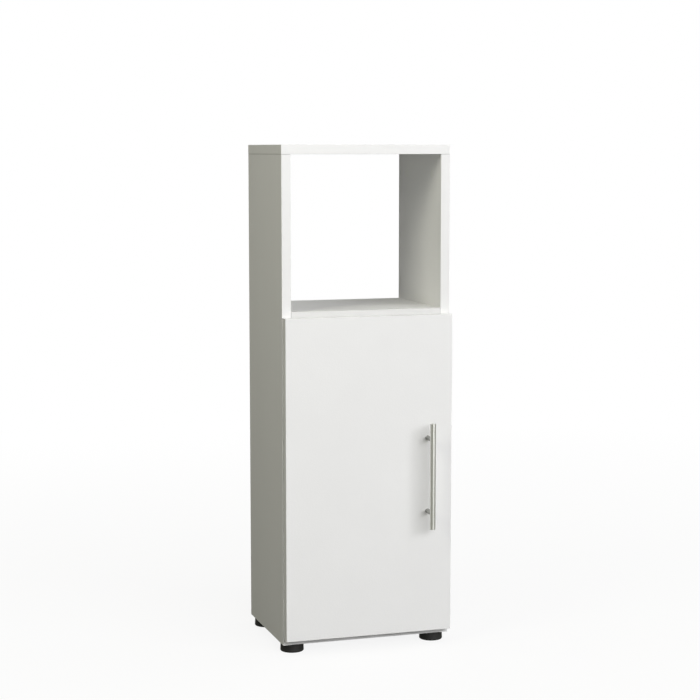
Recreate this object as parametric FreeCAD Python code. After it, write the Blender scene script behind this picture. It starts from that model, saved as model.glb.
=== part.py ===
import FreeCAD, Part
import os

# A narrow bathroom cabinet of white boards on four round feet: an open niche above, one door below.
# X runs to the right, Y to the back and Z up. The origin is on the floor, under the middle of the
# whole object, handle included. All sizes are in millimetres.

# Carcass
width = 300.0
depth = 220.0  # without the door
body_height = 854.0  # without the feet
board = 16.0
niche_height = 264.0  # clear height of the open niche
edge_band = 0.8  # strip glued on a board's edge, counted in the board's size
edge_round = 0.5  # rounding of a strip's two long corners
hardboard = 3.0
groove_depth = 7.0
groove_inset = 10.0  # from the rear edge of the carcass
groove_clearance = 0.15

# Shelf behind the door
shelf_setback = 22.0  # from the carcass front
shelf_end_clearance = 1.0
shelf_back_clearance = 2.0
shelf_height = 271.0  # its underside above the bottom board
pin_diameter = 5.0
pin_insertion = 9.0
pin_reach = 8.0
pin_inset = 50.0  # from the carcass front, and from the back panel
pin_hole_pitch = 64.0
pin_hole_rows = 3

# Door and handle
door_thickness = 16.0
door_reveal = 1.0  # side board left showing on each side of the door
door_overlap = 6.0  # over the niche floor, and over the bottom board
door_gap = 2.0  # between the carcass front and the door
bar_diameter = 10.0
bar_length = 184.0
bar_end_round = 0.8
post_diameter = 8.0
post_spacing = 128.0
bar_standoff = 25.6  # from the door's face to the bar's axis
handle_inset = 44.6  # from the cabinet's right face to the bar's axis
handle_screw_diameter = 4.0
handle_screw_head = 8.0
handle_screw_head_height = 2.2
handle_screw_bite = 9.0  # length inside the post
handle_hole_clearance = 0.2
buffer_diameter = 9.0
buffer_clearance = 0.3
buffer_inset = 30.0  # from the door's top and bottom edges

# Feet
foot_height = 16.0
foot_diameter = 41.0
foot_taper = 0.8  # its top is this much smaller all round
foot_round = 2.0
foot_inset_side = 22.3
foot_inset_front = 24.0
foot_inset_back = 22.0
foot_recess_diameter = 13.0
foot_web = 5.0  # plastic above the recess
foot_screw_diameter = 4.0
foot_screw_head = 8.5
foot_screw_head_height = 2.5
foot_screw_bite = 11.0

# Fittings that join the boards
cam_diameter = 15.0
cam_depth = 12.0
cam_clearance = 0.05
cam_reach = 34.0  # from the joint to the cam's axis
cam_inset = 45.0  # from the front and rear edges of the carcass
cam_slot_length = 9.0
cam_slot_width = 1.6
cam_slot_depth = 2.0
cap_thickness = 1.2
bolt_thread = 6.0
bolt_thread_length = 11.0
bolt_shaft = 5.0
bolt_head = 7.0
bolt_head_length = 5.0
bolt_clearance = 0.3
dowel_diameter = 8.0
dowel_length = 30.0
dowel_insertion = 11.0
dowel_spacing = 32.0  # from the cam beside it

# Concealed cup hinges. Places in the plane of the hinge are (u, v): u to the right from the inner
# face of the left side, v to the back from the door's rear face.
hinge_inset = 100.0  # from the door's top and bottom edges
cup_centre = 7.5
cup_diameter = 35.0
cup_clearance = 0.05
cup_depth = 12.8
pocket_left = -8.0
pocket_right = 19.0
pocket_depth = 12.0
flange_radius = 20.0
flange_thickness = 1.0
ear_offset = 9.5
ear_spacing = 45.0
ear_radius = 6.0
arm_far_pin = (23.7, 7.0)
arm_near_pin = (8.5, -6.6)
cup_outer_pin = (-5.5, -1.5)
cup_inner_pin = (-4.6, -5.1)
outer_link_bend = (-1.8, -3.2)
inner_link_bends = [(2.6, -10.0), (-2.8, -9.4)]
open_end_shift = (-0.385, -0.495)  # middle of the open pivot's travel about the inner cup pin
open_end_travel = 0.63  # radius of that travel as the door swings
far_pin_radius = 1.25
near_pin_radius = 1.0
outer_pin_radius = 0.9
inner_pin_radius = 0.8
pin_running_gap = 0.05
open_end_gap = 0.12
outer_link_half_width = 1.5
inner_link_half_width = 1.3
far_eye = 3.0
near_eye = 2.2
outer_eye = 1.9
open_eye = 2.3
link_web = 1.2
web_near = 4.5  # the outer link's web starts and ends this far from its arm pin
web_far = 9.0
inner_web_span = (0.25, 0.75)  # the inner link's web, as shares of the run between its bends
layer_gap = 0.4
tongue_half = 2.0
inner_plate = 1.2
outer_plate = 1.4
cheek_plate = 1.5
pocket_side_gap = 0.6
pin_grip = 2.5  # length of a cup pin inside the cup's wall
tongue_bends = [(10.0, 5.0), (14.2, 18.0)]
cheek_root = (13.5, 17.0)
cheek_radius = 3.2
arm_low = 5.5  # the arm's sides start this far from the side board
arm_high = 17.0
arm_front = 14.0
arm_back = 64.0
plate_base = 2.0
plate_front = 27.0
plate_back = 62.0
plate_half = 8.0
rib_inset = 3.0
rib_gap = 0.3
plate_screw_setback = 37.0  # from the carcass front
plate_screw_spacing = 32.0
wing_half_length = 22.0
wing_half_width = 6.0
wood_screw_diameter = 3.5
wood_screw_head = 7.0
wood_screw_head_height = 1.8
wood_screw_bite = 11.5
standing_head_top = 0.7  # width of a standing head's top, as a share of its foot
cross_length = 3.6
cross_width = 0.9
cross_depth = 1.0
adjust_screw_diameter = 4.0
adjust_screw_head = 7.0
adjust_screw_head_height = 2.0
adjust_screw_bite = 7.0
adjust_screw_places = [36.0, 52.0]

# Places that follow from the sizes above
left = -width / 2
right = width / 2
inner_left = left + board
inner_right = right - board
handle_reach = bar_standoff + bar_diameter / 2
total_depth = depth + door_gap + door_thickness + handle_reach
back = total_depth / 2
front = back - depth
door_rear = front - door_gap
door_front = door_rear - door_thickness
bar_y = door_front - bar_standoff
bar_x = right - handle_inset
base = foot_height
total_height = foot_height + body_height
top_under = total_height - board
floor_top = top_under - niche_height
floor_under = floor_top - board
bottom_top = base + board
door_top = floor_under + door_overlap
door_bottom = bottom_top - door_overlap
door_left = left + door_reveal
door_right = right - door_reveal
door_middle = (door_top + door_bottom) / 2
groove_front = back - groove_inset - hardboard - groove_clearance
groove_back = back - groove_inset + groove_clearance

RIGHTWARD = FreeCAD.Vector(1, 0, 0)
BACKWARD = FreeCAD.Vector(0, 1, 0)
UPWARD = FreeCAD.Vector(0, 0, 1)
SIDES = [("left", "right"), ("front", "back"), ("bottom", "top")]  # low and high side along X, Y and Z
same_place = 1e-6  # two lengths or places closer than this are taken as one

os.makedirs("parts", exist_ok=True)


def save(name, solids):
    """Writes one node: a single solid, or a group of separate solids."""
    shape = solids[0] if len(solids) == 1 else Part.makeCompound(solids)
    shape.exportStep("parts/" + name + ".step")


def block(low, high):
    """A box between two corners."""
    size = [b - a for a, b in zip(low, high)]
    return Part.makeBox(*size, FreeCAD.Vector(*low))


def rod(start, axis, diameter, length):
    """A round rod from a point along a unit axis."""
    return Part.makeCylinder(diameter / 2, length, start, axis)


def joined(solids):
    """One solid from several that overlap."""
    return solids[0].multiFuse(solids[1:]).removeSplitter() if len(solids) > 1 else solids[0]


def drilled(solid, tools):
    """A solid with every tool's shape taken out of it."""
    return solid.cut(Part.makeCompound(tools)) if tools else solid


def edge_strip(low, high, axis, on_high_side):
    """A glued edge strip, with the two long corners of its outer face rounded."""
    strip = block(low, high)
    face_at = high[axis] if on_high_side else low[axis]
    long_side = max(b - a for a, b in zip(low, high))
    corners = []
    for edge in strip.Edges:
        on_face = all(abs(vertex.Point[axis] - face_at) < same_place for vertex in edge.Vertexes)
        if on_face and abs(edge.Length - long_side) < same_place:
            corners.append(edge)
    return strip.makeFillet(edge_round, corners)


def banded(low, high, sides):
    """A board's core and its glued strips; each named side gives up one strip's thickness to it."""
    low = list(low)
    high = list(high)
    strips = []
    for side in sides:
        axis = [side in pair for pair in SIDES].index(True)
        on_high_side = side == SIDES[axis][-1]
        strip_low = list(low)
        strip_high = list(high)
        if on_high_side:
            high[axis] -= edge_band
            strip_low[axis] = high[axis]
        else:
            low[axis] += edge_band
            strip_high[axis] = low[axis]
        strips.append(edge_strip(strip_low, strip_high, axis, on_high_side))
    return block(low, high), strips


def hinge_point(place, z=0.0):
    """A point of the hinge's plane, raised by z."""
    return FreeCAD.Vector(inner_left + place[0], door_rear + place[1], z)


def disc(place, radius, z_low, z_high):
    """A round slice of a hinge piece, standing on the hinge's plane."""
    return Part.makeCylinder(radius, z_high - z_low, hinge_point(place, z_low), UPWARD)


def bar_slice(places, half_width, z_low, z_high):
    """A flat bent bar: straight runs between the places, with round corners and ends."""
    solids = [disc(place, half_width, z_low, z_high) for place in places]
    for start, end in zip(places, places[1:]):
        run = hinge_point(end) - hinge_point(start)
        length = run.Length
        strip = Part.makeBox(length, 2 * half_width, z_high - z_low, FreeCAD.Vector(0, -half_width, z_low))
        turn = FreeCAD.Rotation(RIGHTWARD, run)
        strip.Placement = FreeCAD.Placement(hinge_point(start), turn)
        solids.append(strip)
    return joined(solids)


def hinge_block(u_low, u_high, v_low, v_high, half_height):
    """A box in the hinge's plane, as far above it as below."""
    low = hinge_point((u_low, v_low), -half_height)
    return block(low, hinge_point((u_high, v_high), half_height))


def both_sides(make, z_low, z_high):
    """The same slice above and below the hinge's middle plane."""
    return [make(z_low, z_high), make(-z_high, -z_low)]


def cross_recess(top, axis):
    """The cross that a screwdriver turns, in the top of a screw's head; axis points into the head."""
    arms = []
    for length, breadth in ((cross_length, cross_width), (cross_width, cross_length)):
        corner = FreeCAD.Vector(-length / 2, -breadth / 2, 0)
        arms.append(Part.makeBox(length, breadth, cross_depth, corner))
    cross = joined(arms)
    cross.Placement = FreeCAD.Placement(top, FreeCAD.Rotation(UPWARD, axis))
    return cross


def wood_screw(seat, axis, sunk):
    """A wood screw whose head stands on its seat, or is sunk flush with it; axis points into the wood."""
    height = wood_screw_head_height
    radius = wood_screw_head / 2
    if sunk:
        top = seat
        head = Part.makeCone(radius, wood_screw_diameter / 2, height, top, axis)
    else:
        top = seat - axis * height
        head = Part.makeCone(radius * standing_head_top, radius, height, top, axis)
    shank = rod(top + axis * height, axis, wood_screw_diameter, wood_screw_bite)
    return joined([head, shank]).cut(cross_recess(top, axis))


# Fittings: each joint between two boards has two cam bolts and two dowels
drill = {name: [] for name in ("top", "left", "right", "floor", "bottom", "door")}
cam_housings = []
cam_bolts = []
cam_caps = []
dowels = []


def cam_fitting(face, into, cam_axis, cap, holder, receiver):
    """A cam and its bolt. The bolt's thread goes into the receiving board, its head into the cam."""
    centre = face - into * cam_reach
    mouth = centre - cam_axis * (board / 2)
    thread = rod(face, into, bolt_thread, bolt_thread_length)
    shaft = rod(centre, into, bolt_shaft, cam_reach)
    head_start = centre - into * (bolt_head_length / 2)
    head = rod(head_start, into, bolt_head, bolt_head_length)
    cam_bolts.append(joined([thread, shaft, head]))
    bore = bolt_head + 2 * bolt_clearance
    room = rod(head_start - into * bolt_clearance, into, bore, cam_reach + bolt_head_length)
    cam = rod(mouth + cam_axis * cap, cam_axis, cam_diameter, cam_depth)
    half_length = cam_slot_length / 2
    half_slot = cam_slot_width / 2
    across = cam_axis.cross(into)
    reach = into * half_length + across * half_slot + cam_axis * cam_slot_depth
    seat = mouth + cam_axis * cap
    corners = [seat - reach, seat + reach]
    low = [min(p[i] for p in corners) for i in range(3)]
    high = [max(p[i] for p in corners) for i in range(3)]
    cam_housings.append(cam.cut(room).cut(block(low, high)))
    if cap:
        cam_caps.append(rod(mouth, cam_axis, cam_diameter, cap))
    well = rod(mouth, cam_axis, cam_diameter + 2 * cam_clearance, cap + cam_depth + cam_clearance)
    drill[holder] += [well, rod(centre, into, bore, cam_reach)]
    drill[receiver].append(thread)


def dowel_fitting(face, into, holder, receiver):
    """A wooden dowel across a joint, glued into both boards."""
    dowel = rod(face - into * (dowel_length - dowel_insertion), into, dowel_diameter, dowel_length)
    dowels.append(dowel)
    drill[holder].append(dowel)
    drill[receiver].append(dowel)


cam_rows = [front + cam_inset, back - cam_inset]
dowel_rows = [front + cam_inset + dowel_spacing, back - cam_inset - dowel_spacing]
for name, sign in (("left", -1), ("right", 1)):
    outward = RIGHTWARD * sign
    inner_x = sign * (width / 2 - board)
    middle_x = sign * (width - board) / 2
    for y in cam_rows:
        cam_fitting(FreeCAD.Vector(middle_x, y, top_under), UPWARD, outward, cap_thickness, name, "top")
        cam_fitting(FreeCAD.Vector(inner_x, y, floor_under + board / 2), outward, UPWARD, 0.0, "floor", name)
        cam_fitting(FreeCAD.Vector(inner_x, y, base + board / 2), outward, UPWARD, 0.0, "bottom", name)
    for y in dowel_rows:
        dowel_fitting(FreeCAD.Vector(middle_x, y, top_under), UPWARD, name, "top")
        dowel_fitting(FreeCAD.Vector(inner_x, y, floor_under + board / 2), outward, "floor", name)
        dowel_fitting(FreeCAD.Vector(inner_x, y, base + board / 2), outward, "bottom", name)
save("cam_housings", cam_housings)
save("cam_bolts", cam_bolts)
save("cam_caps", cam_caps)
save("wood_dowels", dowels)

# Back panel: hardboard behind the door compartment only, let into grooves all round
groove_low = (inner_left - groove_depth, groove_front, bottom_top - groove_depth)
groove_high = (inner_right + groove_depth, groove_back, floor_under + groove_depth)
groove_room = block(groove_low, groove_high)
panel_low = [place + groove_clearance for place in groove_low]
panel_high = [place - groove_clearance for place in groove_high]
save("back_panel", [block(panel_low, panel_high)])
for name in ("left", "right", "floor", "bottom"):
    drill[name].append(groove_room)

# Shelf on four pins, with spare holes above and below them
shelf_under = bottom_top + shelf_height
shelf_low = (inner_left + shelf_end_clearance, front + shelf_setback, shelf_under)
shelf_high = (inner_right - shelf_end_clearance, groove_front - shelf_back_clearance, shelf_under + board)
shelf, shelf_strips = banded(shelf_low, shelf_high, ["front"])
save("inner_shelf", [shelf])
save("shelf_edge_band", shelf_strips)
shelf_pins = []
for name, sign in (("left", -1), ("right", 1)):
    inner_x = sign * (width / 2 - board)
    outward = RIGHTWARD * sign
    for y in (front + pin_inset, groove_front - pin_inset):
        pin_z = shelf_under - pin_diameter / 2
        start = FreeCAD.Vector(inner_x - sign * pin_reach, y, pin_z)
        shelf_pins.append(rod(start, outward, pin_diameter, pin_reach + pin_insertion))
        for row in range(pin_hole_rows):
            z = pin_z + (row - (pin_hole_rows - 1) / 2) * pin_hole_pitch
            hole_start = FreeCAD.Vector(inner_x, y, z)
            drill[name].append(rod(hole_start, outward, pin_diameter, pin_insertion))
save("shelf_pins", shelf_pins)

# Feet: round, slightly conical, each held by one screw up into the bottom board
foot_screws = []
for row, y in (("front", front + foot_inset_front), ("back", back - foot_inset_back)):
    for name, x in (("left", left + foot_inset_side), ("right", right - foot_inset_side)):
        radius = foot_diameter / 2
        foot = Part.makeCone(radius, radius - foot_taper, foot_height, FreeCAD.Vector(x, y, 0), UPWARD)
        rim = [edge for edge in foot.Edges if edge.BoundBox.ZMax < same_place]
        foot = foot.makeFillet(foot_round, rim)
        recess = rod(FreeCAD.Vector(x, y, 0), UPWARD, foot_recess_diameter, foot_height - foot_web)
        head_start = FreeCAD.Vector(x, y, foot_height - foot_web - foot_screw_head_height)
        head = rod(head_start, UPWARD, foot_screw_head, foot_screw_head_height)
        shank_start = FreeCAD.Vector(x, y, foot_height - foot_web)
        shank = rod(shank_start, UPWARD, foot_screw_diameter, foot_web + foot_screw_bite)
        foot_screws.append(joined([head, shank]).cut(cross_recess(head_start, UPWARD)))
        drill["bottom"].append(shank)
        save(row + "_" + name + "_foot", [foot.cut(recess).cut(shank)])
save("foot_screws", foot_screws)

# Hinge layers, counted from the middle plane outwards
inner_low = tongue_half + layer_gap
inner_high = inner_low + inner_plate
outer_low = inner_high + layer_gap
outer_high = outer_low + outer_plate
cheek_low = outer_high + layer_gap
cheek_high = cheek_low + cheek_plate
pocket_half = outer_high + pocket_side_gap
pin_end = pocket_half + pin_grip

# Pins: two in the arm, and in the cup one through pin and two stubs
far_pin = disc(arm_far_pin, far_pin_radius, -cheek_high, cheek_high)
near_pin = disc(arm_near_pin, near_pin_radius, -inner_high, inner_high)
inner_pin = disc(cup_inner_pin, inner_pin_radius, -pin_end, pin_end)
outer_pins = both_sides(
    lambda low, high: disc(cup_outer_pin, outer_pin_radius, low, high), outer_low, pin_end
)

# Outer link: two bent plates and the web that joins them
outer_path = [arm_far_pin, outer_link_bend, cup_outer_pin]


def outer_plate_slice(z_low, z_high):
    """One plate of the outer link, with an eye at each end."""
    body = bar_slice(outer_path, outer_link_half_width, z_low, z_high)
    eyes = [disc(arm_far_pin, far_eye, z_low, z_high), disc(cup_outer_pin, outer_eye, z_low, z_high)]
    return joined([body] + eyes)


run = FreeCAD.Vector(*outer_link_bend) - FreeCAD.Vector(*arm_far_pin)
run.normalize()
aside = FreeCAD.Vector(-run.y, run.x) * (outer_link_half_width - link_web / 2)
web_places = []
for distance in (web_near, web_far):
    place = FreeCAD.Vector(*arm_far_pin) + run * distance + aside
    web_places.append((place.x, place.y))
outer_web = bar_slice(web_places, link_web / 2, -outer_high, outer_high)
outer_link = joined(both_sides(outer_plate_slice, outer_low, outer_high) + [outer_web])
far_hole = disc(arm_far_pin, far_pin_radius + pin_running_gap, -outer_high, outer_high)
outer_hole = disc(cup_outer_pin, outer_pin_radius + pin_running_gap, -outer_high, outer_high)
outer_link = drilled(outer_link, [far_hole, outer_hole])

# Inner link: shorter, between the outer link's plates; its cup end is the open pivot
open_end = (cup_inner_pin[0] + open_end_shift[0], cup_inner_pin[1] + open_end_shift[1])
inner_path = [arm_near_pin] + inner_link_bends + [open_end]


def inner_plate_slice(z_low, z_high):
    """One plate of the inner link, with an eye at each end."""
    body = bar_slice(inner_path, inner_link_half_width, z_low, z_high)
    eyes = [disc(arm_near_pin, near_eye, z_low, z_high), disc(open_end, open_eye, z_low, z_high)]
    return joined([body] + eyes)


web_drop = inner_link_half_width - link_web / 2
inner_web_places = []
for share in inner_web_span:
    start, end = inner_link_bends
    u = start[0] + (end[0] - start[0]) * share
    v = start[1] + (end[1] - start[1]) * share - web_drop
    inner_web_places.append((u, v))
inner_web = bar_slice(inner_web_places, link_web / 2, -inner_high, inner_high)
inner_link = joined(both_sides(inner_plate_slice, inner_low, inner_high) + [inner_web])
near_hole = disc(arm_near_pin, near_pin_radius + pin_running_gap, -inner_high, inner_high)
open_radius = inner_pin_radius + open_end_travel + open_end_gap
open_hole = disc(open_end, open_radius, -inner_high, inner_high)
inner_link = drilled(inner_link, [near_hole, open_hole])

# Hinge arm: a channel over the plate's rib, with a tongue and two cheeks that hold the pins
tongue = bar_slice([arm_near_pin] + tongue_bends, near_eye, -tongue_half, tongue_half)
channel = hinge_block(arm_low, arm_high, arm_front, arm_back, cheek_high)
channel_room = hinge_block(arm_low, arm_high - cheek_plate, arm_front, arm_back, cheek_low)
cheeks = both_sides(
    lambda low, high: bar_slice([cheek_root, arm_far_pin], cheek_radius, low, high), cheek_low, cheek_high
)
arm = joined([channel.cut(channel_room), tongue] + cheeks)

# Mounting plate on the left side board, its rib inside the arm
plate_v = plate_screw_setback + door_gap
rib_top = arm_high - cheek_plate
plate_foot = hinge_block(0.0, plate_base, plate_front, plate_back, plate_half)
wings = hinge_block(0.0, plate_base, plate_v - wing_half_width, plate_v + wing_half_width, wing_half_length)
rib = hinge_block(plate_base, rib_top, plate_front + rib_inset, plate_back - rib_inset, cheek_low - rib_gap)
plate = joined([plate_foot, wings, rib])
plate_screws = []
plate_crosses = []
for sign in (-1, 1):
    seat = hinge_point((plate_base, plate_v), sign * plate_screw_spacing / 2)
    plate_screws.append(wood_screw(seat, -RIGHTWARD, True))
    plate_crosses.append(cross_recess(seat, -RIGHTWARD))
adjust_screws = []
for v in adjust_screw_places:
    top_point = hinge_point((arm_high + adjust_screw_head_height, v))
    head = rod(top_point, -RIGHTWARD, adjust_screw_head, adjust_screw_head_height)
    shank_length = cheek_plate + adjust_screw_bite
    shank = rod(hinge_point((arm_high, v)), -RIGHTWARD, adjust_screw_diameter, shank_length)
    adjust_screws.append(joined([head, shank]).cut(cross_recess(top_point, -RIGHTWARD)))
arm = drilled(arm, [far_pin, near_pin] + adjust_screws)
plate = drilled(plate, plate_screws + plate_crosses + adjust_screws)

# Hinge cup: a round body in the door with a pocket for the links, and a flange with two ears
cup_face = hinge_point((cup_centre, 0.0))
cup_body = rod(cup_face, -BACKWARD, cup_diameter - 2 * cup_clearance, cup_depth)
flange = rod(cup_face, BACKWARD, 2 * flange_radius, flange_thickness)
ear_u = cup_centre + ear_offset
ear_half = ear_spacing / 2
ears = [hinge_block(ear_u - ear_radius, ear_u + ear_radius, 0.0, flange_thickness, ear_half)]
cup_screws = []
for sign in (-1, 1):
    ear_point = hinge_point((ear_u, 0.0), sign * ear_half)
    ears.append(rod(ear_point, BACKWARD, 2 * ear_radius, flange_thickness))
    seat = hinge_point((ear_u, flange_thickness), sign * ear_half)
    cup_screws.append(wood_screw(seat, -BACKWARD, False))
pocket = hinge_block(pocket_left, pocket_right, -pocket_depth, flange_thickness, pocket_half)
cup = drilled(joined([cup_body, flange] + ears), [pocket, inner_pin] + outer_pins + cup_screws)
cup_bore = rod(cup_face, -BACKWARD, cup_diameter, cup_depth + cup_clearance)

# The upper and the lower hinge are alike
heights = {"upper": door_top - hinge_inset, "lower": door_bottom + hinge_inset}
lifted = {name: [] for name in ("plate_screws", "adjust_screws", "cup_screws", "arm_pins", "cup_pins")}
for name, z in heights.items():
    lift = UPWARD * z
    save(name + "_hinge_cup", [cup.translated(lift)])
    save(name + "_hinge_arm", [arm.translated(lift)])
    save(name + "_hinge_plate", [plate.translated(lift)])
    save(name + "_outer_link", [outer_link.translated(lift)])
    save(name + "_inner_link", [inner_link.translated(lift)])
    lifted["plate_screws"] += [screw.translated(lift) for screw in plate_screws]
    lifted["adjust_screws"] += [screw.translated(lift) for screw in adjust_screws]
    lifted["cup_screws"] += [screw.translated(lift) for screw in cup_screws]
    lifted["arm_pins"] += [pin.translated(lift) for pin in (far_pin, near_pin)]
    lifted["cup_pins"] += [pin.translated(lift) for pin in [inner_pin] + outer_pins]
    drill["door"].append(cup_bore.translated(lift))
for name, solids in lifted.items():
    save("hinge_" + name, solids)
drill["left"] += lifted["plate_screws"]
drill["door"] += lifted["cup_screws"]

# Handle: a bar on two posts, each held by a screw from inside the door
bar_low = FreeCAD.Vector(bar_x, bar_y, door_middle - bar_length / 2)
bar = rod(bar_low, UPWARD, bar_diameter, bar_length)
bar = bar.makeFillet(bar_end_round, [edge for edge in bar.Edges if edge.Curve.TypeId == "Part::GeomCircle"])
handle_screws = []
for name, sign in (("upper", 1), ("lower", -1)):
    z = door_middle + sign * post_spacing / 2
    post = rod(FreeCAD.Vector(bar_x, door_front, z), -BACKWARD, post_diameter, bar_standoff).cut(bar)
    seat = FreeCAD.Vector(bar_x, door_rear, z)
    top_point = seat + BACKWARD * handle_screw_head_height
    head = rod(top_point, -BACKWARD, handle_screw_head, handle_screw_head_height)
    shank_length = door_thickness + handle_screw_bite
    shank = rod(seat, -BACKWARD, handle_screw_diameter, shank_length)
    hole_diameter = handle_screw_diameter + 2 * handle_hole_clearance
    drill["door"].append(rod(seat, -BACKWARD, hole_diameter, door_thickness))
    handle_screws.append(joined([head, shank]).cut(cross_recess(top_point, -BACKWARD)))
    save(name + "_handle_post", [post.cut(shank)])
save("handle_bar", [bar])
save("handle_screws", handle_screws)

# Door with its edge strips and two buffers behind its free edge
door, door_strips = banded(
    (door_left, door_front, door_bottom),
    (door_right, door_rear, door_top),
    ["left", "right", "top", "bottom"],
)
save("door_panel", [drilled(door, drill["door"])])
save("door_edge_bands", door_strips)
buffers = []
for z in (door_top - buffer_inset, door_bottom + buffer_inset):
    start = FreeCAD.Vector(right - board / 2, door_rear, z)
    buffers.append(rod(start, BACKWARD, buffer_diameter, door_gap - buffer_clearance))
save("door_buffers", buffers)

# Carcass boards: the top lies over the sides, the niche floor and the bottom stand between them
top, top_strips = banded(
    (left, front, top_under), (right, back, total_height), ["front", "back", "left", "right"]
)
floor, floor_strips = banded(
    (inner_left, front, floor_under), (inner_right, back, floor_top), ["front", "back"]
)
bottom, bottom_strips = banded((inner_left, front, base), (inner_right, back, bottom_top), ["front"])
left_side, left_strips = banded((left, front, base), (inner_left, back, top_under), ["front", "back"])
right_side, right_strips = banded((inner_right, front, base), (right, back, top_under), ["front", "back"])
save("top_panel", [drilled(top, drill["top"])])
save("niche_floor", [drilled(floor, drill["floor"])])
save("bottom_panel", [drilled(bottom, drill["bottom"])])
save("left_side_panel", [drilled(left_side, drill["left"])])
save("right_side_panel", [drilled(right_side, drill["right"])])
save("top_edge_bands", top_strips)
save("niche_floor_edge_bands", floor_strips)
save("bottom_edge_band", bottom_strips)
save("side_edge_bands", left_strips + right_strips)
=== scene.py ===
import math

import bpy
import numpy as np
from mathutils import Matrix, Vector


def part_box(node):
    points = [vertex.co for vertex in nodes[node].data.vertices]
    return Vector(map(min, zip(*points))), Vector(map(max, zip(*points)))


# A narrow bathroom cabinet of white boards on round black feet: an open niche above one hinged door.
# Metres; X runs to the right, Y to the back and Z up, with the origin on the floor under the middle.
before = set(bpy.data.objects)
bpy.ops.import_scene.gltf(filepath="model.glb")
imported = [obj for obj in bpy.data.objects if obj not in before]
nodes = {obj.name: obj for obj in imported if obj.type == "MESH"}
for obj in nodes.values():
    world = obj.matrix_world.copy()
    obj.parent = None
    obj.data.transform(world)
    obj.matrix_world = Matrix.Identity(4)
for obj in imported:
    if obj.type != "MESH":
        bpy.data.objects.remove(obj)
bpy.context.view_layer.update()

# Carcass boards and shelf: 16 mm chipboard faced with white melamine paper and sawn to size.
# Cams and dowels hold the boards together, and the shelf lies loose on four pins. Where the top lies
# on the sides, a hairline of shade marks the joint.
mm = 0.001


def linear(code):
    """An sRGB hex colour as linear RGBA: each channel goes back through the sRGB curve."""
    channels = np.array([int(code[i:i + 2], 16) for i in (1, 3, 5)]) / 255
    curved = ((channels + 0.055) / 1.055) ** 2.4
    return (*np.where(channels <= 0.04045, channels / 12.92, curved).tolist(), 1.0)


def add(tree, kind, inputs=None, **settings):
    """One shader node: settings are its own properties, and an input is a value or a socket to link."""
    made = tree.nodes.new("ShaderNode" + kind)
    for name, value in settings.items():
        setattr(made, name, value)
    for name, value in (inputs or {}).items():
        if isinstance(value, bpy.types.NodeSocket):
            tree.links.new(value, made.inputs[name])
        else:
            made.inputs[name].default_value = value
    return made


def start_material(name):
    """An empty node material: gives it, its node tree and the outputs of its coordinates node."""
    material = bpy.data.materials.new(name)
    material.use_nodes = True
    tree = material.node_tree
    tree.nodes.clear()
    return material, tree, add(tree, "TexCoord").outputs


def finish_material(tree, inputs):
    """Ends a material with its Principled shader, whose inputs are values or sockets, and the output."""
    shader = add(tree, "BsdfPrincipled", inputs)
    add(tree, "OutputMaterial", {"Surface": shader.outputs["BSDF"]})


def dress(material, *names):
    """Gives CAD nodes this material in place of the plain one that they came with."""
    for name in names:
        nodes[name].material_slots[0].material = material


# A Mix node's sockets go by number: its share, then the two numbers or the two colours that it mixes.
share, number_a, number_b, colour_a, colour_b = 0, 2, 3, 6, 7
number_out, colour_out = 0, 2

# Melamine-faced chipboard: the steel press plate leaves a fine pearl on the faces, which spreads every
# reflection to a soft sheen. Sawn edges and bores show raw chips, matt and in many browns.
melamine_white = "#F0F0EE"
melamine_shade = "#ECECEA"
tone_size = 90 * mm
pearl_size = 2.2 * mm  # real cells are about 0.6 mm, drawn coarser so that they show
pearl_softness = 0.6
face_roughness = 0.58
chip_dark = "#8C6B43"
chip_pale = "#D2B486"
chip_size = 3.5 * mm
chip_flatness = 3.0  # chips lie flat, so they are this much thinner across the board
cut_roughness = 0.9
face_cosine = 0.7  # a face looks along the axis by more than this, a cut by less
joint_width = 0.4 * mm  # real gaps are about 0.1 mm, drawn wider so that they show
joint_grey = "#7C7C79"


def joint_line(tree, place, colour, axis, end):
    """The colour, turned grey within a joint's width of a piece's end along an axis.

    The end is a distance from the cabinet's middle, and counts on both sides of it.
    """
    along = add(tree, "SeparateXYZ", {"Vector": place}).outputs[axis]
    reach = add(tree, "Math", {0: along}, operation="ABSOLUTE").outputs[0]
    butted = add(tree, "Math", {0: reach, 1: end - joint_width}, operation="GREATER_THAN").outputs[0]
    shades = {share: butted, colour_a: colour, colour_b: linear(joint_grey)}
    return add(tree, "Mix", shades, data_type="RGBA").outputs[colour_out]


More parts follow.
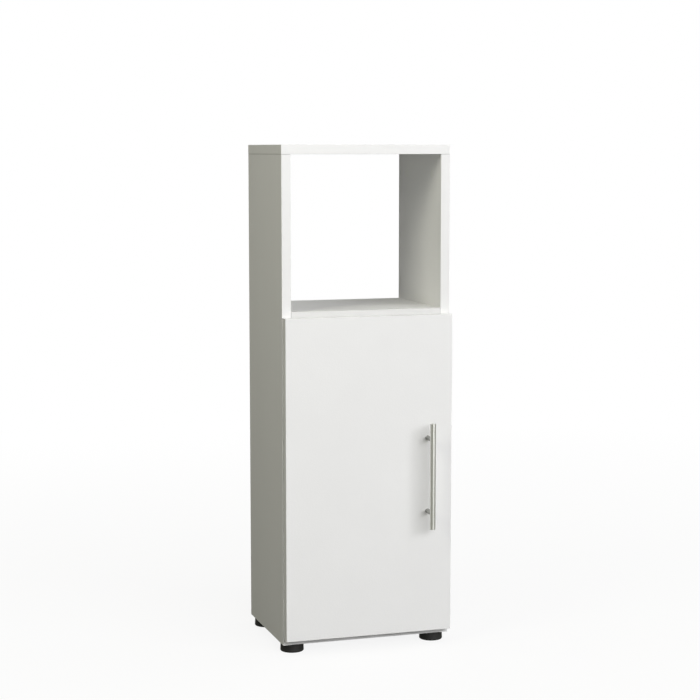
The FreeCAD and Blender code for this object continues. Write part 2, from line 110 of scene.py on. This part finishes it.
def melamine_board(name, across, joint=None):
    """Melamine on the two faces that look along the axis across; chips wherever the board is cut.

    The object's own normal tells face from cut. Chips are Voronoi cells, each with its own brown;
    the pearl is a smooth Voronoi height, and a slow noise moves the white and the gloss by a shade.
    A joint gives the axis and the end for joint_line.
    """
    material, tree, coords = start_material(name)
    place = coords["Object"]
    axes = add(tree, "SeparateXYZ", {"Vector": coords["Normal"]})
    facing = add(tree, "Math", {0: axes.outputs[across]}, operation="ABSOLUTE")
    face = add(tree, "Math", {0: facing.outputs[0], 1: face_cosine}, operation="GREATER_THAN").outputs[0]

    flattened = [chip_flatness if axis == across else 1.0 for axis in "XYZ"]
    chip_place = add(tree, "Mapping", {"Vector": place, "Scale": flattened})
    chips = add(tree, "TexVoronoi", {"Vector": chip_place.outputs[0], "Scale": 1 / chip_size})
    chip_pick = add(tree, "SeparateColor", {"Color": chips.outputs["Color"]})
    browns = {share: chip_pick.outputs["Red"], colour_a: linear(chip_dark), colour_b: linear(chip_pale)}
    chip = add(tree, "Mix", browns, data_type="RGBA").outputs[colour_out]

    tone = add(tree, "TexNoise", {"Vector": place, "Scale": 1 / tone_size, "Detail": 3.0}).outputs["Fac"]
    whites = {share: tone, colour_a: linear(melamine_shade), colour_b: linear(melamine_white)}
    paper = add(tree, "Mix", whites, data_type="RGBA").outputs[colour_out]
    pearl_cells = {"Vector": place, "Scale": 1 / pearl_size, "Smoothness": pearl_softness}
    pearl = add(tree, "TexVoronoi", pearl_cells, feature="SMOOTH_F1").outputs["Distance"]

    colours = {share: face, colour_a: chip, colour_b: paper}
    colour = add(tree, "Mix", colours, data_type="RGBA").outputs[colour_out]
    if joint:
        colour = joint_line(tree, place, colour, *joint)
    heights = {share: face, number_a: chips.outputs["Distance"], number_b: pearl}
    height = add(tree, "Mix", heights, data_type="FLOAT").outputs[number_out]
    bump = add(tree, "Bump", {"Height": height, "Strength": 0.4, "Distance": 0.2 * mm})
    glosses = {share: face, number_a: cut_roughness, number_b: face_roughness}
    gloss = add(tree, "Mix", glosses, data_type="FLOAT").outputs[number_out]
    worn = add(tree, "MapRange", {"Value": tone, "To Min": -0.03, "To Max": 0.05})
    rough = add(tree, "Math", {0: gloss, 1: worn.outputs[0]}, operation="ADD")
    finish_material(tree, {
        "IOR": 1.48,
        "Base Color": colour,
        "Roughness": rough.outputs[0],
        "Normal": bump.outputs[0],
    })
    return material


under_top = ("Z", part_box("left_side_panel")[1].z)
upright_board = melamine_board("melamine_on_upright_chipboard", "X", under_top)
dress(upright_board, "left_side_panel", "right_side_panel")
level_board = melamine_board("melamine_on_level_chipboard", "Z")
dress(level_board, "top_panel", "niche_floor", "bottom_panel", "inner_shelf")

# Edge banding: 0.8 mm ABS strip glued on to the boards' edges, trimmed and its corners rounded.
# It is a touch smoother than the boards, with faint ripples from the scraper that trims it.
band_white = "#EEEEEC"
band_shade = "#EAEAE8"
# The niche floor's strips get a greyer white. It is painted shade for the shade that the door's top
# edge, standing out in front of the front strip, casts on it; the rear strip shares the same material.
ledge_painted_shade_pale = "#D9D9D7"  # the strip along the niche floor is a shade greyer than the others
ledge_painted_shade_dark = "#D5D5D3"
ripple_size = 1.8 * mm


def edge_band(name, pale, dark, joint=None):
    """A strip whose white drifts by a slow noise, with finer noise for the scraper's ripples and gloss.

    A joint gives the axis and the end for joint_line.
    """
    material, tree, coords = start_material(name)
    place = coords["Object"]
    tone = add(tree, "TexNoise", {"Vector": place, "Scale": 1 / tone_size, "Detail": 2.0}).outputs["Fac"]
    whites = {share: tone, colour_a: linear(dark), colour_b: linear(pale)}
    colour = add(tree, "Mix", whites, data_type="RGBA").outputs[colour_out]
    if joint:
        colour = joint_line(tree, place, colour, *joint)
    ripples = {"Vector": place, "Scale": 1 / ripple_size, "Detail": 1.0}
    ripple = add(tree, "TexNoise", ripples).outputs["Fac"]
    rough = add(tree, "MapRange", {"Value": ripple, "To Min": 0.32, "To Max": 0.4})
    bump = add(tree, "Bump", {"Height": ripple, "Strength": 0.08, "Distance": 0.05 * mm})
    finish_material(tree, {
        "IOR": 1.54,
        "Base Color": colour,
        "Roughness": rough.outputs[0],
        "Normal": bump.outputs[0],
    })
    return material


edge_banding = edge_band("abs_edge_banding", band_white, band_shade)
dress(edge_banding, "top_edge_bands", "bottom_edge_band", "shelf_edge_band")
dress(edge_band("abs_edge_banding_of_sides", band_white, band_shade, under_top), "side_edge_bands")
between_sides = ("X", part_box("niche_floor_edge_bands")[1].x)
# Painted shade: the greyer white of the niche floor's strips.
ledge_banding_with_painted_shade = edge_band("abs_edge_banding_of_niche_with_painted_shade", ledge_painted_shade_pale, ledge_painted_shade_dark, between_sides)
dress(ledge_banding_with_painted_shade, "niche_floor_edge_bands")

# Back panel: 3 mm hardboard of pressed wood fibres, let into grooves behind the door compartment.
# Its inner face is lacquered white and half matt; the rear is raw, brown and matt, with clumps of
# fibres and the print of the wire screen that it was pressed on.
lacquer_white = "#ECECE9"
lacquer_shade = "#E6E6E2"
lacquer_roughness = 0.5
fibre_dark = "#6E4F31"
fibre_pale = "#AE8A5A"
fibre_size = 5.0 * mm
raw_roughness = 0.75
screen_pitch = 3.0 * mm  # real screen wires are about 1.5 mm apart, drawn coarser so that they show
screen_share = 0.3  # how much of the raw brown follows the screen, and not the fibres
# A wave turns by twenty times its scaled place, so one pitch is a full turn at this scale.
screen_scale = math.tau / (20 * screen_pitch)
material, tree, coords = start_material("lacquered_hardboard")
place = coords["Object"]
axes = add(tree, "SeparateXYZ", {"Vector": coords["Normal"]})
inner = add(tree, "Math", {0: axes.outputs["Y"], 1: -face_cosine}, operation="LESS_THAN").outputs[0]
clumps = {"Vector": place, "Scale": 1 / fibre_size, "Detail": 6.0, "Distortion": 1.5}
fibres = add(tree, "TexNoise", clumps).outputs["Fac"]
wires = {"Vector": place, "Scale": screen_scale}
across = add(tree, "TexWave", wires, bands_direction="X").outputs["Fac"]
upright = add(tree, "TexWave", wires, bands_direction="Z").outputs["Fac"]
screen = add(tree, "Math", {0: across, 1: upright}, operation="MULTIPLY").outputs[0]
fibres_and_screen = {share: screen_share, number_a: fibres, number_b: screen}
raw_relief = add(tree, "Mix", fibres_and_screen, data_type="FLOAT").outputs[number_out]
browns = {share: raw_relief, colour_a: linear(fibre_dark), colour_b: linear(fibre_pale)}
raw = add(tree, "Mix", browns, data_type="RGBA").outputs[colour_out]
whites = {share: fibres, colour_a: linear(lacquer_shade), colour_b: linear(lacquer_white)}
lacquer = add(tree, "Mix", whites, data_type="RGBA").outputs[colour_out]
colour = add(tree, "Mix", {share: inner, colour_a: raw, colour_b: lacquer}, data_type="RGBA")
glosses = {share: inner, number_a: raw_roughness, number_b: lacquer_roughness}
rough = add(tree, "Mix", glosses, data_type="FLOAT")
heights = {share: inner, number_a: raw_relief, number_b: fibres}
height = add(tree, "Mix", heights, data_type="FLOAT").outputs[number_out]
bump = add(tree, "Bump", {"Height": height, "Strength": 0.2, "Distance": 0.15 * mm})
finish_material(tree, {
    "IOR": 1.5,
    "Base Color": colour.outputs[colour_out],
    "Roughness": rough.outputs[number_out],
    "Normal": bump.outputs[0],
})
dress(material, "back_panel")

# Joining fittings: round cam housings of zinc turn behind the heads of steel bolts and pull the boards
# together, and beech dowels keep them in line. White caps close the cams that look into the niche.


def mottled(
    name, dark, pale, grain, detail, smooth, rough,
    relief=0.0, depth=0.0, stretch=None, shader=None,
):
    """A finish that drifts between two colours, and from smooth to rough, by one noise of a real grain.

    The noise's scale is one over the grain. Relief is the strength of a bump of that depth from the same
    noise. Stretch scales the place first, and less than one draws the grain out along that axis. Shader
    holds what is the same all over the surface.
    """
    material, tree, coords = start_material(name)
    place = coords["Object"]
    if stretch:
        place = add(tree, "Mapping", {"Vector": place, "Scale": stretch}).outputs[0]
    noise = add(tree, "TexNoise", {"Vector": place, "Scale": 1 / grain, "Detail": detail}).outputs["Fac"]
    colours = {share: noise, colour_a: linear(dark), colour_b: linear(pale)}
    colour = add(tree, "Mix", colours, data_type="RGBA")
    gloss = add(tree, "MapRange", {"Value": noise, "To Min": smooth, "To Max": rough})
    inputs = {"Base Color": colour.outputs[colour_out], "Roughness": gloss.outputs[0]}
    if relief:
        bump = add(tree, "Bump", {"Height": noise, "Strength": relief, "Distance": depth})
        inputs["Normal"] = bump.outputs[0]
    finish_material(tree, {**(shader or {}), **inputs})
    return material


# Cast zinc is dull and grainy, as it leaves the die.
casting = mottled(
    "zinc_die_casting", dark="#7F8283", pale="#A5A7A8", grain=0.9 * mm, detail=4.0,
    smooth=0.4, rough=0.65, relief=0.2, depth=0.05 * mm, shader={"Metallic": 1.0},
)
dress(casting, "cam_housings")

# Zinc plating is bright, with bluish clouds from the bath that it was passivated in.
plating = mottled(
    "zinc_plated_steel", dark="#AEB4BC", pale="#C6C8CA", grain=2.5 * mm, detail=3.0,
    smooth=0.24, rough=0.42, shader={"Metallic": 1.0},
)
dress(
    plating, "cam_bolts", "foot_screws", "shelf_pins", "handle_screws",
    "hinge_plate_screws", "hinge_adjust_screws", "hinge_cup_screws",
)

# Turned beech is matt and pinkish brown, with small darker flecks.
beech = mottled(
    "beech", dark="#B98A55", pale="#D8B07C", grain=1.2 * mm, detail=4.0,
    smooth=0.55, rough=0.7, shader={"IOR": 1.5},
)
dress(beech, "wood_dowels")

# White polypropylene takes the fine spark-eroded grain of its mould, and so a satin shine.
cap_plastic = mottled(
    "moulded_polypropylene_white", dark="#E9E9E4", pale="#F0F0EC", grain=1.0 * mm, detail=2.0,
    smooth=0.36, rough=0.48, relief=0.1, depth=0.05 * mm, shader={"IOR": 1.49},
)
dress(cap_plastic, "cam_caps")

# Feet: round and slightly conical, moulded in black polypropylene; one screw holds each to the cabinet.
# A coarse spark-eroded skin makes them matt. Its real grain is about 0.3 mm, drawn coarser to show.
foot_plastic = mottled(
    "moulded_polypropylene_black", dark="#111110", pale="#1C1C1B", grain=0.9 * mm, detail=3.0,
    smooth=0.55, rough=0.75, relief=0.25, depth=0.1 * mm, shader={"IOR": 1.49},
)
dress(foot_plastic, "front_left_foot", "front_right_foot", "back_left_foot", "back_right_foot")

# Door: a leaf of the same board, banded on all four edges, hung in front of the carcass.
# Two soft buffers stuck behind its free edge keep it off the side board.
dress(melamine_board("melamine_on_door_chipboard", "Y"), "door_panel")
dress(edge_banding, "door_edge_bands")

# Clear silicone lets most light through, and a faint milky haze dulls it.
silicone = mottled(
    "clear_silicone", dark="#DCDCD5", pale="#EDEDE8", grain=3.0 * mm, detail=2.0,
    smooth=0.25, rough=0.4, shader={"IOR": 1.41, "Transmission Weight": 0.7},
)
dress(silicone, "door_buffers")

# Cup hinges: steel sheet pressed and bent to cup, arm, plate and links, which turn on steel pins.
# Nickel plating makes them bright and warm, with faint drawing marks that the press left lengthways.
nickel = mottled(
    "nickel_plated_steel", dark="#B5B0A5", pale="#CFCBC2", grain=1.5 * mm, detail=2.0,
    smooth=0.2, rough=0.3, stretch=(1.0, 0.15, 1.0), shader={"Metallic": 1.0},
)
for level in ("upper_", "lower_"):
    for piece in ("hinge_cup", "hinge_arm", "hinge_plate", "outer_link", "inner_link"):
        dress(nickel, level + piece)
dress(nickel, "hinge_arm_pins", "hinge_cup_pins")

# Handle: a round bar on two posts of satin stainless steel, screwed on from inside the door.
# The bar is ground between wheels, so fine lines run round it and draw each highlight out lengthways.
# The posts are turned, not ground. Their colours are darker than the bar's, as painted shade for the
# shade that falls on them beside the bar.
line_spacing = 0.9 * mm  # real lines are about 0.1 mm, drawn coarser so that they show
posts = ["upper_handle_post", "lower_handle_post"]
for name, dark, pale, line_stretch, drawn_out, pieces in (
    ("satin_stainless_steel_bar", "#CECFCA", "#E4E5E0", (0.05, 0.05, 1.0), 0.8, ["handle_bar"]),
    # the posts' darker colours are painted shade
    ("satin_stainless_steel_posts_with_painted_shade", "#9A9B97", "#B4B5B1", (0.05, 1.0, 0.05), 0.0, posts),
):
    steel = mottled(
        name, dark, pale, grain=line_spacing, detail=5.0,
        smooth=0.26, rough=0.4, relief=0.08, depth=0.05 * mm, stretch=line_stretch,
        shader={"Metallic": 1.0, "Anisotropic": drawn_out, "Anisotropic Rotation": 0.25},
    )
    dress(steel, *pieces)

# Studio: a plain pale floor that runs on to a white surround, six large soft lights, and the camera.
# Only what the camera sees of floor and surround is white; they light the cabinet far less than that.
scene = bpy.context.scene
scene.view_settings.view_transform = "Standard"
seen_white = linear("#FFFFFF")
mirrored_white = linear("#FFFFF2")
mirrored_strength = 0.36  # what glossy pieces mirror of floor and surround
ambient_white = linear("#FFFDF8")
ambient_strength = 0.02

# The floor is painted, and glows white as well: less near the cabinet, where its soft shadow shows.
floor_half = 60.0
shadow_radius = 0.25
glow_radius = 2.5
least_glow = 0.88
corners = np.array([(-1, -1, 0), (1, -1, 0), (1, 1, 0), (-1, 1, 0)]) * floor_half
floor_mesh = bpy.data.meshes.new("studio_floor")
floor_mesh.from_pydata(corners.tolist(), [], [(0, 1, 2, 3)])
floor = bpy.data.objects.new("studio_floor", floor_mesh)
scene.collection.objects.link(floor)
material, tree, coords = start_material("pale_floor")
ray = add(tree, "LightPath").outputs
away = add(tree, "VectorMath", {0: coords["Object"]}, operation="LENGTH").outputs["Value"]
near_and_far = {"Value": away, "From Min": shadow_radius, "From Max": glow_radius, "To Min": least_glow}
glow_share = add(tree, "MapRange", near_and_far).outputs[0]
paint = add(tree, "BsdfDiffuse", {"Color": linear("#F4F4F2")}).outputs[0]
glow = add(tree, "Emission", {"Color": seen_white, "Strength": 1.0}).outputs[0]
shown = add(tree, "MixShader", {0: glow_share, 1: paint, 2: glow}).outputs[0]
dim = add(tree, "BsdfPrincipled", {"Base Color": linear("#5C5C5A"), "Roughness": 0.9}).outputs[0]
mirrored = add(tree, "Emission", {"Color": mirrored_white, "Strength": mirrored_strength}).outputs[0]
unseen = add(tree, "MixShader", {0: ray["Is Glossy Ray"], 1: dim, 2: mirrored}).outputs[0]
either = add(tree, "MixShader", {0: ray["Is Camera Ray"], 1: unseen, 2: shown}).outputs[0]
add(tree, "OutputMaterial", {"Surface": either})
floor_mesh.materials.append(material)

world = bpy.data.worlds.new("studio_surround")
scene.world = world
world.use_nodes = True
tree = world.node_tree
tree.nodes.clear()
ray = add(tree, "LightPath").outputs
surround = add(tree, "Background", {"Color": seen_white, "Strength": 1.0}).outputs[0]
ambient = add(tree, "Background", {"Color": ambient_white, "Strength": ambient_strength}).outputs[0]
mirrored = add(tree, "Background", {"Color": mirrored_white, "Strength": mirrored_strength}).outputs[0]
unseen = add(tree, "MixShader", {0: ray["Is Glossy Ray"], 1: ambient, 2: mirrored}).outputs[0]
either = add(tree, "MixShader", {0: ray["Is Camera Ray"], 1: unseen, 2: surround}).outputs[0]
add(tree, "OutputWorld", {"Surface": either})

light_aim = Vector((0.0, 0.0, 0.45))


def soft_light(name, place, size, watts, code, mirrored=True):
    """A soft box at a place, turned towards the cabinet's middle; gloss shows it only if mirrored."""
    lamp = bpy.data.lights.new(name, "AREA")
    lamp.shape = "RECTANGLE"
    lamp.size, lamp.size_y = size
    lamp.energy = watts
    lamp.color = linear(code)[:3]
    made = bpy.data.objects.new(name, lamp)
    made.location = place
    made.rotation_euler = (light_aim - made.location).to_track_quat("-Z", "Y").to_euler()
    made.visible_glossy = mirrored
    scene.collection.objects.link(made)


# Two big boxes in front make the door bright and the handle's shadow soft; the others lift the sides.
soft_light("front_light", (1.4, -4.1, 1.6), (5.6, 2.0), 92.0, "#FCFCFF")
soft_light("high_light", (2.6, -7.0, 4.4), (9.5, 3.4), 424.0, "#FCFCFF")
soft_light("left_light", (-1.85, -1.0, 1.85), (1.0, 1.0), 21.0, "#FFFEEF", mirrored=False)
soft_light("top_light", (0.0, 0.1, 3.4), (2.0, 2.0), 17.0, "#FFFFFA", mirrored=False)
soft_light("right_light", (3.4, 0.5, 1.6), (1.6, 1.6), 18.0, "#FFFFFA", mirrored=False)
soft_light("rear_light", (0.0, 3.6, 0.5), (0.8, 0.8), 54.0, "#FFFFFA", mirrored=False)

# The camera stands left of the cabinet, as high as its top, and looks a little down at it.
camera_place = (-0.9457, -2.9675, 0.862)
camera_tilt = math.radians(90.0 - 6.411)
camera_turn = math.radians(-17.629)
eye = bpy.data.cameras.new("photo_camera")
eye.sensor_width = 36.0
eye.lens = 91.82
camera = bpy.data.objects.new("photo_camera", eye)
camera.location = camera_place
camera.rotation_euler = (camera_tilt, 0.0, camera_turn)
scene.collection.objects.link(camera)
scene.camera = camera
